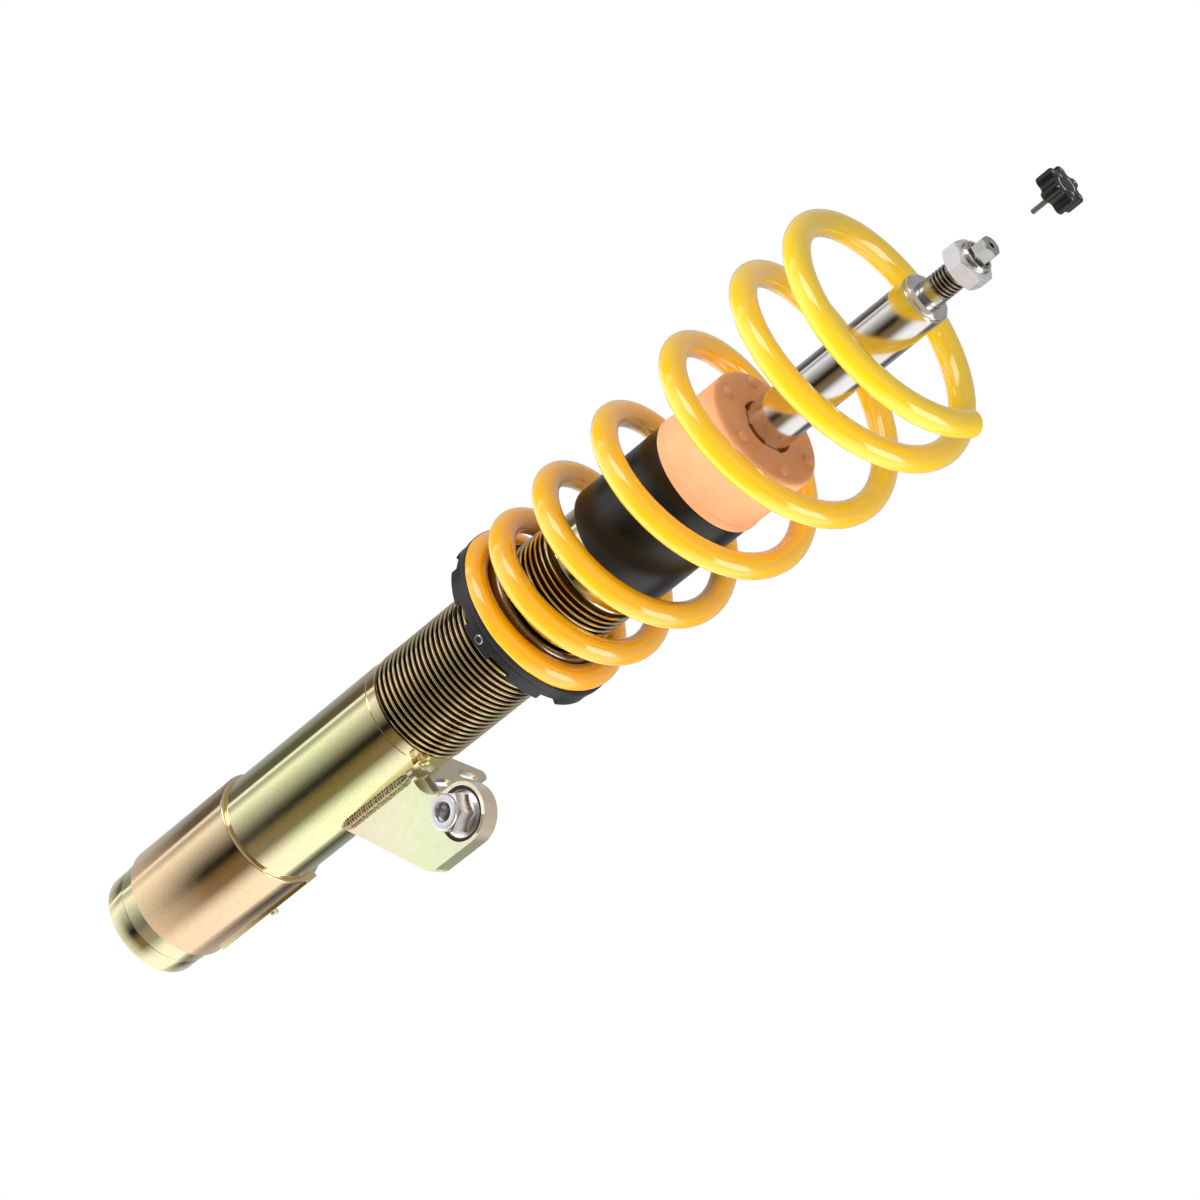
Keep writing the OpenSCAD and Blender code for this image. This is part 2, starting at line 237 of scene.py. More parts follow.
def bracket_plate():
    """Pale plating on the pressed brackets: greenish at the top, peach towards the foot, with smudges."""
    n, shader, where = new_material("bracket_plating", Metallic=0.8)
    share = n.line(n.parts(where)["Z"], 12.5, -1.56)
    drift = n.line(n.noise(where, 40, 1.0), 0.3, n.math("SUBTRACT", share, 0.15))
    tone = n.ramp(drift, [(0.0, (1.0, 0.87, 0.68)), (0.25, (1.0, 0.95, 0.69)), (0.42, (1.0, 0.99, 0.67)),
                          (0.58, (0.91, 1.0, 0.64)), (0.75, (1.0, 0.92, 0.68)), (1.0, (0.98, 0.83, 0.64))])
    smudge = n.ramp(n.noise(where, 260, 5.0, 0.7), [(0.3, (0.94, 0.93, 0.92)), (0.6, 1)])
    n.finish(shader, n.multiply(tone, smudge), n.line(n.noise(where, 180, 5.0, 0.65), 0.08, 0.08),
             n.bump(n.noise(where, 700, 4.0, 0.7), 0.02, 0.00006))


def weld_metal():
    """Plated weld: grey-green at its upper end, brown at its foot, rough between the ripples."""
    n, shader, where = new_material("weld", Metallic=1.0)
    share = n.line(n.parts(where)["Z"], 22.0, -2.8)
    tone = n.ramp(share, [(0.0, (0.66, 0.50, 0.32)), (0.5, (0.74, 0.64, 0.40)), (1.0, (0.66, 0.68, 0.42))])
    soot = n.ramp(n.noise(where, 320, 5.0, 0.7), [(0.3, (0.72, 0.68, 0.62)), (0.6, 1)])
    n.finish(shader, n.multiply(tone, soot), n.line(n.noise(where, 300, 4.0), 0.2, 0.2),
             n.bump(n.noise(where, 900, 4.0, 0.7), 0.25, 0.0001))


def bright_metal(name, base, rough=0.18, grain=0.06):
    """Bare, chromed or bright zinc metal with faint marks and smears."""
    n, shader, where = new_material(name, Metallic=1.0)
    smear = n.noise(n.scaled(where, (120, 120, 60)), 1.0, 4.0, 0.6)
    tone = n.ramp(smear, [(0.3, tuple(0.90 * c for c in base)), (0.7, base)])
    fine = n.noise(n.scaled(where, (300, 300, 5000)), 1.0, 2.0)
    n.finish(shader, tone, n.line(n.noise(where, 240, 5.0, 0.6), 0.12, rough - 0.06), n.bump(fine, grain, 0.00004))


def satin_steel():
    """Bright zinc with a silky, slightly pink grain."""
    n, shader, where = new_material("satin_steel", Metallic=0.8)
    smear = n.noise(n.scaled(where, (120, 120, 60)), 1.0, 4.0, 0.6)
    tone = n.ramp(smear, [(0.3, (0.86, 0.84, 0.88)), (0.7, (0.97, 0.95, 0.99))])
    n.finish(shader, tone, n.line(n.noise(where, 240, 5.0, 0.6), 0.10, 0.20),
             n.bump(n.noise(where, 2600, 3.0), 0.03, 0.00004))


def powder_coat():
    """Glossy yellow powder coat with a soft orange-peel surface, more orange towards the lowest coil."""
    n, shader, where = new_material("spring_coat", Metallic=0.0, Coat_Weight=1.0, Coat_Roughness=0.04, Coat_IOR=1.9,
                                    Specular_IOR_Level=0.2)
    share = n.line(n.noise(where, 30, 3.0), 0.2, n.line(n.parts(where)["Z"], 4.5, -1.27))
    tone = n.ramp(share, [(0.0, (1.0, 0.46, 0.0)), (1.0, (1.0, 0.66, 0.0))])
    n.finish(shader, tone, n.line(n.noise(where, 700, 3.0), 0.12, 0.24), n.bump(n.noise(where, 420, 2.0), 0.04, 0.0001))


def bump_foam():
    """Peach microcellular foam: fine cells, soft mottling and painted shade that darkens its top."""
    n, shader, where = new_material("bump_foam", Metallic=0.0, Subsurface_Weight=0.2, Subsurface_Scale=0.003,
                                    Subsurface_Radius=(1.0, 0.45, 0.25), Specular_IOR_Level=0.4)
    tone = n.ramp(n.noise(where, 60, 4.0, 0.6), [(0.3, (0.93, 0.46, 0.23)), (0.7, (0.98, 0.53, 0.28))])
    cells = n.add("ShaderNodeTexVoronoi", {"Vector": where, "Scale": 1600.0}).outputs["Distance"]
    skin = n.multiply(tone, n.ramp(cells, [(0.1, 0.88), (0.5, 1)]))
    # Painted shade: the top face and its rounded edge are darkened, as if less light fell on them from above.
    edge, slope = (top("bump_stop") - 4.0) * MM, 500.0
    painted_top_shade = n.ramp(n.line(n.parts(where)["Z"], slope, 0.5 - slope * edge), [(0.0, 1), (1.0, (0.72, 0.68, 0.66))])
    n.finish(shader, n.multiply(skin, painted_top_shade), n.line(n.noise(where, 300, 4.0), 0.2, 0.36), n.bump(cells, 0.16, 0.0001))


def black_part(name, low, high, rough, cell_scale, strength, metallic=0.0):
    """Black moulded or anodised surface with a fine grain and slightly rubbed patches."""
    n, shader, where = new_material(name, Metallic=metallic)
    mottle = n.noise(where, 90, 5.0, 0.65)
    tone = n.ramp(mottle, [(0.35, low), (0.7, high)])
    n.finish(shader, tone, n.line(mottle, 0.16, rough - 0.08),
             n.bump(n.noise(where, cell_scale, 3.0, 0.6), strength, 0.00008))


def marking_paint():
    """White printed marks, slightly worn."""
    n, shader, where = new_material("marking_paint", Metallic=0.0, Roughness=0.5)
    tone = n.ramp(n.noise(where, 1500, 4.0, 0.7), [(0.3, 0.45), (0.6, 0.85)])
    n.tree.links.new(tone, shader.inputs["Base Color"])


def make_materials():
    tube = (0.93, 0.88, 0.54), (0.92, 0.90, 0.52), (0.94, 0.86, 0.55)
    bands = [(0.0, (0.98, 0.97, 1.0)), (0.30, (1.0, 0.94, 1.0)), (0.38, (0.96, 1.0, 0.93)), (0.50, (0.94, 1.0, 0.90)),
             (0.60, (1.0, 0.93, 0.94)), (0.72, (0.98, 0.89, 0.96)), (1.0, (1.0, 0.95, 1.0))]
    plated_steel("tube_plating", *tube, bands=bands)
    # The groove carries painted shade in the tube thread's roots.
    plated_steel("threaded_plating", *tube, groove=(24.3, 25.25, THREAD_START - 0.2, THREAD_END + 0.5), bands=bands)
    plated_steel("sleeve_plating", (0.93, 0.70, 0.44), (0.92, 0.73, 0.46), (0.92, 0.65, 0.43), 0.12)
    bracket_plate()
    plated_steel("sheet_plating", (0.88, 0.76, 0.62), (0.86, 0.78, 0.58), (0.86, 0.70, 0.62), 0.22)
    weld_metal()
    bright_metal("chrome", (0.78, 0.76, 0.74), 0.12, 0.01)
    # The groove carries painted shade in the stud thread's roots.
    plated_steel("stud_steel", (0.56, 0.55, 0.53), (0.53, 0.51, 0.49), (0.58, 0.57, 0.56), 0.26,
                 groove=(4.5, 5.95, 494.5, 513.3))
    bright_metal("bright_steel", (0.94, 0.91, 0.94), 0.26, 0.03)
    satin_steel()
    bright_metal("inner_steel", (0.56, 0.56, 0.58), 0.30)
    bright_metal("bronze", (0.72, 0.50, 0.24), 0.30)
    powder_coat()
    black_part("black_alloy", (0.010, 0.010, 0.012), (0.018, 0.018, 0.021), 0.36, 1800, 0.05)
    black_part("polished_alloy", (0.30, 0.26, 0.24), (0.40, 0.35, 0.32), 0.20, 1800, 0.03, 1.0)
    black_part("black_plastic", (0.004, 0.004, 0.004), (0.009, 0.009, 0.009), 0.30, 1200, 0.03)
    bump_foam()
    # seal_rubber also colours the dark ring of painted shade in the link bracket's recess.
    black_part("seal_rubber", (0.02, 0.02, 0.02), (0.035, 0.035, 0.035), 0.6, 1500, 0.1)
    marking_paint()


# ---------------------------------------------------------------- mesh builders

def round_corners(points, radii, steps=5):
    """The closed outline through points, with each corner turned into an arc of its radius."""
    made = []
    count = len(points)
    for i, (here, r) in enumerate(zip(points, radii)):
        p = Vector(here).to_2d()
        before = Vector(points[i - 1]).to_2d() - p
        after = Vector(points[(i + 1) % count]).to_2d() - p
        if r <= 0:
            made.append(tuple(p))
            continue
        a, b = before.normalized(), after.normalized()
        half = a.angle(b) / 2
        reach = min(r / math.tan(half), 0.499 * before.length, 0.499 * after.length)
        r = reach * math.tan(half)
        centre = p + (a + b).normalized() * (r / math.sin(half))
        start, end = p + a * reach - centre, p + b * reach - centre
        sweep = start.angle_signed(end)
        for k in range(steps + 1):
            angle = -sweep * k / steps
            c, s = math.cos(angle), math.sin(angle)
            made.append((centre.x + start.x * c - start.y * s, centre.y + start.x * s + start.y * c))
    return made


def add_piece(name, mesh, body, slot, *replaced, material=None, sharp=32):
    """Links a finished mesh (in mm) as a piece of the object. A material other than its slot's goes by its name."""
    mesh.name = name
    mesh.transform(Matrix.Scale(MM, 4))
    mesh.shade_smooth()
    mesh.set_sharp_from_angle(angle=math.radians(sharp))
    mesh.materials.append(MATERIALS[material or slot])
    piece = placed(name, mesh)
    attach(piece, body)
    if replaced:
        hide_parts(*replaced)
    return piece


def close_mesh(bm):
    """The mesh built so far, without doubled points or slivers and with its normals outwards."""
    merge = 0.0005
    bmesh.ops.remove_doubles(bm, verts=bm.verts, dist=merge)
    bmesh.ops.dissolve_degenerate(bm, edges=bm.edges, dist=merge)
    bmesh.ops.recalc_face_normals(bm, faces=bm.faces)
    mesh = bpy.data.meshes.new("piece")
    bm.to_mesh(mesh)
    bm.free()
    return mesh


def turned(bm, r, z, angle):
    """A vertex at a radius, a height and an angle about the axis."""
    return bm.verts.new((r * math.cos(angle), r * math.sin(angle), z))


def skin(bm, rows, ring=False, caps=False):
    """Faces between neighbouring rows of vertices. A ring joins the last row to the first, and caps close both ends."""
    pairs = list(zip(rows, rows[1:])) + ([(rows[-1], rows[0])] if ring else [])
    for low, high in pairs:
        for j in range(len(low)):
            k = (j + 1) % len(low)
            bm.faces.new((low[j], low[k], high[k], high[j]))
    if caps:
        bm.faces.new(list(reversed(rows[0])))
        bm.faces.new(rows[-1])


def loft_into(bm, layers, columns, ring, place=None, caps=True):
    """Adds a surface through layers, each (radius, height) or a function of the angle that gives them.
    A ring joins the last layer to the first. Otherwise both ends are capped, unless caps is off."""
    rows = []
    for layer in layers:
        row = []
        for j in range(columns):
            angle = TURN * j / columns
            r, z = layer(angle) if callable(layer) else layer
            point = Vector((r * math.cos(angle), r * math.sin(angle), z))
            row.append(bm.verts.new(place @ point if place else point))
        rows.append(row)
    skin(bm, rows, ring, caps and not ring)


def loft(layers, columns, place=None):
    bm = bmesh.new()
    loft_into(bm, layers, columns, False, place)
    return close_mesh(bm)


def lathe(points, radii, columns=128, ring=True, steps=4):
    """A turned mesh: the outline's corners are rounded first."""
    bm = bmesh.new()
    loft_into(bm, round_corners(points, radii, steps), columns, ring)
    return close_mesh(bm)


def hex_radius(af, angle, corner=0.0):
    """Distance from a hexagon's centre to its outline in a direction. One of its corners points towards corner."""
    return af / 2 / math.cos((angle - corner) % (math.pi / 3) - math.pi / 6)


def hex_layers(af, z0, z1, chamfer, corner=0.0, low_chamfer=True, fall=30):
    """Layers of a hexagon whose corners are turned down at an angle of fall, in degrees."""
    slope = math.tan(math.radians(fall))
    inner = af / 2 * (1 - chamfer)

    def drop(angle):
        return max(0.0, hex_radius(af, angle, corner) - inner) * slope

    layers = []
    if low_chamfer:
        layers += [(inner, z0), lambda a: (hex_radius(af, a, corner), z0 + drop(a))]
    else:
        layers += [lambda a: (hex_radius(af, a, corner), z0)]
    layers += [lambda a: (hex_radius(af, a, corner), z1 - drop(a)), (inner, z1)]
    return layers


# Share of the pitch and share of the depth along one turn of a thread's profile
THREAD_PROFILE = [(0, 0), (0.25, 0), (0.31, 0.35), (0.36, 0.74), (0.42, 0.95), (0.5, 1), (0.58, 0.95), (0.64, 0.74),
                  (0.69, 0.35), (0.75, 0)]


def thread_layers(crest, depth, pitch, z0, z1):
    """Heights and radii of a right-hand thread between z0 and z1. Each layer climbs by one pitch in a turn."""
    turns = math.ceil((z1 - z0) / pitch) + 2

    def layer(turn, phase, rise):
        def at(angle):
            z = z0 + pitch * (turn + phase + angle / TURN - 1)
            fade = min(1.0, max(0.0, min(z - z0, z1 - z) / (0.35 * pitch)))
            return crest - depth * (1 - rise * fade), min(z1, max(z0, z))
        return at

    return [layer(turn, phase, rise) for turn in range(turns) for phase, rise in THREAD_PROFILE]


def thread_into(bm, crest, depth, pitch, z0, z1, columns):
    """A threaded surface. Its seam joins each layer's end to the layer one pitch above its start."""
    samples = len(THREAD_PROFILE)
    angles = [TURN * j / columns for j in range(columns)]
    grid = [[turned(bm, *layer(a), a) for a in angles] for layer in thread_layers(crest, depth, pitch, z0, z1)]
    for i in range(len(grid) - 1):
        for j in range(columns):
            k = j + 1
            if k < columns:
                corners = (grid[i][j], grid[i][k], grid[i + 1][k], grid[i + 1][j])
            elif i + samples + 1 < len(grid):
                corners = (grid[i][j], grid[i + samples][0], grid[i + samples + 1][0], grid[i + 1][j])
            else:
                continue
            bm.faces.new(corners)


def bevelled(bm, offset, place):
    """The plate built so far with its steep edges bevelled, moved to its place."""
    bmesh.ops.recalc_face_normals(bm, faces=bm.faces)
    steep = math.radians(60)
    rim = [e for e in bm.edges if len(e.link_faces) == 2 and e.calc_face_angle(0) > steep]
    bmesh.ops.bevel(bm, geom=rim, offset=offset, segments=2, profile=0.5, affect="EDGES", clamp_overlap=True)
    bmesh.ops.transform(bm, matrix=place, verts=bm.verts)
    return close_mesh(bm)


def extruded(outline, holes, thickness, bevel, place):
    """A plate with a bevelled outline and bevelled holes, extruded from -thickness/2 to +thickness/2."""
    bm = bmesh.new()
    loops = []
    for points in [outline] + holes:
        verts = [bm.verts.new((x, y, -thickness / 2)) for x, y in points]
        loops.append([bm.edges.new((verts[i], verts[(i + 1) % len(verts)])) for i in range(len(verts))])
    made = bmesh.ops.triangle_fill(bm, use_beauty=True, use_dissolve=True, edges=[e for l in loops for e in l])
    faces = [g for g in made["geom"] if isinstance(g, bmesh.types.BMFace)]
    lifted = bmesh.ops.extrude_face_region(bm, geom=faces)
    verts = [g for g in lifted["geom"] if isinstance(g, bmesh.types.BMVert)]
    bmesh.ops.translate(bm, verts=verts, vec=(0, 0, thickness))
    return bevelled(bm, bevel, place)


def arc_points(centre, r, start, end, steps):
    """Points on an arc between two directions in degrees."""
    angles = [math.radians(start + (end - start) * i / steps) for i in range(steps + 1)]
    return [(centre[0] + r * math.cos(a), centre[1] + r * math.sin(a)) for a in angles]


def recessed_plate(outline, centre, bore_r, recess_r, recess, thickness, bevel, place):
    """A bevelled plate with a bore that widens into a blind round recess in its front face."""
    bm = bmesh.new()
    back, front = -thickness / 2, thickness / 2

    def loop(points, z):
        return [bm.verts.new((x, y, z)) for x, y in points]

    def circle(r, z):
        return loop(arc_points(centre, r, 0, 355, 71), z)

    def fill(*loops):
        edges = [bm.edges.get((l[i], l[(i + 1) % len(l)])) for l in loops for i in range(len(l))]
        bmesh.ops.triangle_fill(bm, use_beauty=True, use_dissolve=False, edges=edges)

    rim_back, rim_front = loop(outline, back), loop(outline, front)
    bore_back, bore_floor = circle(bore_r, back), circle(bore_r, front - recess)
    step_floor, step_front = circle(recess_r, front - recess), circle(recess_r, front)
    skin(bm, [rim_back, rim_front])
    skin(bm, [bore_back, bore_floor, step_floor, step_front])
    fill(rim_back, bore_back)
    fill(rim_front, step_front)
    return bevelled(bm, bevel, place)


# ---------------------------------------------------------------- strut

def make_foot_cap():
    r, z = radius("foot_cap"), top("foot_cap")
    seam = foot("strut_tube") - 0.5
    plug = TUBE_R - 4.02
    points = [(0.01, 0), (r, 0), (r, seam), (plug, seam), (plug, z), (0.01, z)]
    add_piece("foot_cap_skin", lathe(points, [0, 1.0, 0.08, 0, 0.5, 0], ring=False, steps=5),
              "strut", "tube_plating", "foot_cap")


def make_strut_tube():
    """Bare foot, a shallow relief, the thread, and a neck at the top."""
    z0, z1 = foot("strut_tube"), top("strut_tube")
    crest, depth, pitch, columns = TUBE_R, 1.35, 3.0, 128
    start, end = THREAD_START, THREAD_END
    relief, relief_r = 179.3, crest - 0.35
    root, neck, bore = crest - depth, crest - 2.0, crest - 4.0
    bm = bmesh.new()
    below = [(bore, z0), (crest - 0.06, z0), (crest, z0 + 0.06), (crest, relief), (relief_r, relief),
             (relief_r, start - 0.4), (root, start)]
    above = round_corners([(root, end), (neck, end + 1.2), (neck, z1), (bore, z1), (bore, z0)], [0, 0.4, 0.8, 0.3, 0])
    loft_into(bm, below, columns, False, caps=False)
    thread_into(bm, crest, depth, pitch, start, end, columns)
    loft_into(bm, above, columns, False, caps=False)
    add_piece("strut_tube_threaded", close_mesh(bm), "strut", "tube_plating", "strut_tube",
              material="threaded_plating")


def make_clamp_sleeve():
    z0, z1 = foot("clamp_sleeve"), top("clamp_sleeve")
    bore = TUBE_R + 0.02
    points = [(bore, z0), (SLEEVE_R, z0), (SLEEVE_R, z1), (bore, z1)]
    add_piece("clamp_sleeve_skin", lathe(points, [0, 0.1, 1.4, 0.1], columns=160, steps=6),
              "strut", "sleeve_plating", "clamp_sleeve")


def make_locating_strip():
    """A flat bar let into the sleeve, and the pin's round head."""
    low, high = box("locating_strip")
    w, h = (high.y - low.y) / 2, (high.z - low.z) / 2
    outline = round_corners([(-w, -h), (w, -h), (w, h), (-w, h)], [0.5] * 4)
    inner = SLEEVE_R - 0.45
    upright = Matrix(((0, 0, 1, 0), (1, 0, 0, 0), (0, 1, 0, 0), (0, 0, 0, 1)))
    place = Matrix.Translation(((high.x + inner) / 2, 0, (low.z + high.z) / 2)) @ upright
    strip = extruded(outline, [], high.x - inner, 0.2, place)
    add_piece("locating_strip_bar", strip, "strut", "tube_plating", "locating_strip", sharp=20)
    low, high = box("locating_pin")
    r, rise = (high.y - low.y) / 2, high.x - low.x
    stand = Matrix.Translation((low.x, 0, (low.z + high.z) / 2)) @ Matrix.Rotation(math.pi / 2, 4, "Y")
    profile = round_corners([(0.01, 0), (r, 0), (r, rise), (0.01, rise)], [0, 0, 0.9, 0])
    add_piece("locating_nub", loft(profile, 48, stand), "strut", "bracket_plating", "locating_pin")


def link_plane():
    """Takes (radius, height, out of the front face) to the row frame."""
    c, s = math.cos(LINK_ANGLE), math.sin(LINK_ANGLE)
    return Matrix(((c, 0, s, 0), (s, 0, -c, 0), (0, 1, 0, 0), (0, 0, 0, 1)))


def make_link_bracket():
    """One plate: a boss with a blind recess, a cove towards the tube and a long foot down to the weld's end."""
    boss, boss_r = Vector((LINK_R, LINK_Z)), 13.6
    cove = boss + Vector((-27.4, -3.4))
    corner, corner_r = boss + Vector((5.6, -22.3)), 8.0
    wall = TUBE_R - 0.4
    root = Vector((wall, LINK_Z - 62.3))
    cove_r = (boss - cove).length - boss_r
    across = math.degrees(math.atan2(boss.y - cove.y, boss.x - cove.x))
    d = corner - root
    slant = math.degrees(math.atan2(d.y, d.x) - math.asin(corner_r / d.length))
    wall_turn = -math.degrees(math.acos((wall - cove.x) / cove_r))
    outline = [tuple(root), *arc_points(corner, corner_r, slant - 90, 0, 10),
               *arc_points(boss, boss_r, 0, across + 180, 30), *arc_points(cove, cove_r, across, wall_turn, 16)[1:]]
    bore_r, recess_r = 7.02, 11.8
    plate = recessed_plate(outline, boss, bore_r, recess_r, RECESS, LINK_T, 0.35, link_plane())
    add_piece("link_bracket_plate", plate, "strut", "bracket_plating", "link_bracket", sharp=20)


def make_weld():
    """A rippled bead along each side of the link bracket's foot."""
    z0, z1 = foot("link_bracket_weld"), top("link_bracket_weld")
    ripples, rings, columns = 29, 6, 20
    pitch = (z1 - z0) / ripples
    c, s = math.cos(LINK_ANGLE), math.sin(LINK_ANGLE)
    bm = bmesh.new()
    for side in (-1, 1):
        wobble = 0.6 if side > 0 else 2.1
        rows = []
        for i in range(ripples * rings + 1):
            share = i / (ripples * rings)
            phase = i % rings / rings
            end = min(1.0, 7 * share + 0.35, 7 * (1 - share) + 0.35)
            r = (1.95 + 0.3 * math.sin(math.pi * phase) ** 0.7 + 0.1 * math.sin(3.7 * i / rings + wobble)) * end
            z = z0 + share * (z1 - z0)
            row = []
            for k in range(columns):
                a = TURN * k / columns
                tilt = -0.35 * pitch * math.cos(a)
                x = TUBE_R - 0.3 + r * math.cos(a)
                y = side * (LINK_T / 2 + 0.9 + r * math.sin(a))
                row.append(bm.verts.new((x * c - y * s, x * s + y * c, min(z1, max(z0, z + tilt)))))
            rows.append(row)
        skin(bm, rows, caps=True)
    add_piece("link_bracket_bead", close_mesh(bm), "strut", "weld", "link_bracket_weld", sharp=60)


def make_link_nut():
    """A flange nut with a thread that shows in its mouth, and a dark rubber ring between its flange and the recess:
    painted shade standing in for the shadow there.
    """
    af, bore, base, height = 15.6, 4.25, -1.6, 12.4
    flange_r, shoulder_r, neck_r, shank_r = 10.3, 8.6, 7.5, 7.0
    collar, back, pitch = base + height, -LINK_T + 0.1, 1.5
    face = link_plane() @ Matrix.Translation((LINK_R, LINK_Z, LINK_T / 2))
    flange = round_corners([(bore, -RECESS), (flange_r, -RECESS), (flange_r, base + 1.1), (shoulder_r, base + 2.2),
                            (bore, base + 2.2)], [0, 0.3, 0.5, 0.6, 0], 4)
    hexagon = hex_layers(af, base + 1.6, collar - 1.2, 0.06, low_chamfer=False)
    neck = round_corners([(bore, base + 2), (neck_r, base + 2), (neck_r, collar), (bore, collar)], [0, 0, 0.5, 0.5], 4)
    shank = [(bore, back), (shank_r, back), (shank_r, base), (bore, base)]
    bm = bmesh.new()
    loft_into(bm, flange, 120, True, face)
    loft_into(bm, [(bore, base + 1.6), *hexagon, (bore, collar - 1.2)], 120, True, face)
    loft_into(bm, neck, 96, True, face)
    loft_into(bm, shank, 96, True, face)
    add_piece("link_flange_nut", close_mesh(bm), "strut", "bright_steel", "link_nut")
    low = back + 0.1
    turns = int((collar - 0.8 - low) / pitch)
    ridges = [(bore + (0.02 if k % 2 else -0.55), low + k * pitch / 2) for k in range(2 * turns + 1)]
    bm = bmesh.new()
    loft_into(bm, ridges + [(bore + 0.3, low + turns * pitch), (bore + 0.3, low)], 96, True, face)
    add_piece("link_nut_thread", close_mesh(bm), "strut", "bright_steel", material="inner_steel", sharp=20)
    # Painted shade: a dark ring laid in the recess round the flange stands in for the shadow there.
    inner, outer, low, high = 10.25, 11.75, -RECESS + 0.1, -1.0
    shade_ring = round_corners([(inner, low), (outer, low), (outer, high), (inner, high)], [0, 0, 0.2, 0.2], 3)
    bm = bmesh.new()
    loft_into(bm, shade_ring, 96, True, face)
    add_piece("link_nut_shade_ring", close_mesh(bm), "strut", "seal_rubber")


def make_line_bracket():
    """A flat sheet with an ear and two slots, and the weld tacks at its root."""
    z0, z1 = foot("line_bracket"), top("line_bracket")
    wall = TUBE_R - 0.35
    outer = [(26.3, 3.2), *arc_points((38.9, 11.6), 2.6, 131, -20, 14), (37.8, -6), (35.8, -13), (33, -20.5),
             (24, -19.5), *arc_points((20.3, -24.6), 3, 10, -190, 18)]
    eased = {(37.8, -6): 8, (35.8, -13): 8, (33, -20.5): 1, (24, -19.5): 0.5}
    outline = round_corners(outer, [eased.get(point, 0) for point in outer], 6) + arc_points((0, 0), wall, -47, 4, 14)

    def slot(p, q, w):
        p, q = Vector(p), Vector(q)
        along = (q - p).normalized()
        across = Vector((-along.y, along.x))
        ends = [p - along * w / 2 - across * w / 2, q + along * w / 2 - across * w / 2,
                q + along * w / 2 + across * w / 2, p - along * w / 2 + across * w / 2]
        return round_corners([tuple(v) for v in ends], [w / 2 - 0.01] * 4, 6)

    slot_w = 3.6
    slots = [slot((33, 0.8), (37.7, 7), slot_w), slot((29.4, -17), (32.3, -10.7), slot_w)]
    place = Matrix.Translation((0, 0, (z0 + z1) / 2))
    sheet = extruded(outline, slots, z1 - z0, 0.35, place)
    add_piece("line_bracket_sheet", sheet, "strut", "bracket_plating", "line_bracket", material="sheet_plating",
              sharp=20)
    bm = bmesh.new()
    dome = [(math.cos(math.radians(a)) + 0.001, math.sin(math.radians(a))) for a in range(-75, 91, 15)]
    for away, turn, z, size in ((26.6, -36, z1 - 0.2, (2.6, 3.4, 1.5)), (27.4, -43, z1 - 0.4, (2.2, 2.4, 1.3))):
        way = math.radians(turn)
        place = (Matrix.Translation((away * math.cos(way), away * math.sin(way), z)) @ Matrix.Rotation(way, 4, "Z")
                 @ Matrix.Diagonal((*size, 1)))
        loft_into(bm, dome, 32, False, place)
    add_piece("line_bracket_tacks", close_mesh(bm), "strut", "bracket_plating")


# ---------------------------------------------------------------- rod and its hardware

def make_rod():
    """Chromed rod up to its chamfered shoulder. Its upper stud has a smooth neck, a thread and a hexagon tip."""
    z_low, z_high = foot("piston_rod"), top("piston_rod")
    shoulder = foot("support_washer")
    step, stud, root, pitch = 262, 6.0, 5.1, 1.75
    needle = radius("rebound_needle") + 0.06
    thread_z, hex_z = shoulder + 7.5, top("top_nut") - 2.5
    bm = bmesh.new()
    body = round_corners([(needle, z_low), (stud, z_low), (stud, step), (ROD_R, step), (ROD_R, shoulder - 0.9),
                          (ROD_R - 0.9, shoulder), (needle, shoulder)], [0, 0.5, 0.2, 0.5, 0.2, 0.1, 0], 3)
    loft_into(bm, body, 128, True)
    add_piece("piston_rod_chrome", close_mesh(bm), "rod", "chrome", "piston_rod")
    bm = bmesh.new()
    loft_into(bm, [(needle, shoulder), (stud, shoulder), (stud, thread_z), (root, thread_z + 0.5), (root, hex_z),
                   (needle, hex_z)], 96, True)
    thread_into(bm, stud, stud - root, pitch, thread_z, hex_z, 96)
    af, socket = 8.4, 1.4
    tip = [(needle, hex_z - 0.2), *hex_layers(af, hex_z - 0.2, z_high, 0.12, math.radians(27), False, 36),
           (socket + 0.35, z_high), (socket, z_high - 0.35), (socket, z_high - 6), (needle, z_high - 6)]
    loft_into(bm, tip, 120, True)
    add_piece("piston_rod_stud", close_mesh(bm), "rod", "chrome", material="stud_steel")


def make_washer():
    z0, z1 = foot("support_washer"), top("support_washer")
    bore, r, bevel = 6.05, ROD_R - 0.1, 1.2
    points = [(bore, z0), (r, z0), (r, z1 - bevel), (r - bevel, z1), (bore, z1)]
    add_piece("support_washer_turned", lathe(points, [0.2, 0.3, 0.2, 0.3, 0.3]),
              "rod", "chrome", "support_washer")


def make_top_nut():
    """Hexagon with a silky finish and a low polished collar."""
    af, bore, collar_r, hex_h, collar_h = 18.2, 6.02, 7.5, 8.6, 1.8
    z0 = foot("top_nut")
    hex_top = z0 + hex_h
    rim = hex_top + collar_h
    hexagon = hex_layers(af, z0, hex_top, 0.08, math.radians(18))
    bm = bmesh.new()
    loft_into(bm, [(bore + 0.4, z0), *hexagon, (bore, hex_top), (bore, z0 + 0.4)], 120, True)
    add_piece("top_lock_nut", close_mesh(bm), "rod", "bright_steel", "top_nut",
              material="satin_steel")
    collar = [(bore, hex_top - 0.5), (collar_r, hex_top - 0.5), (collar_r, hex_top + 0.8), (collar_r - 0.6, rim),
              (bore, rim)]
    add_piece("top_lock_nut_collar", lathe(collar, [0, 0, 0.3, 0.3, 0.2], 96),
              "rod", "bright_steel", material="chrome")


# ---------------------------------------------------------------- adjuster knob

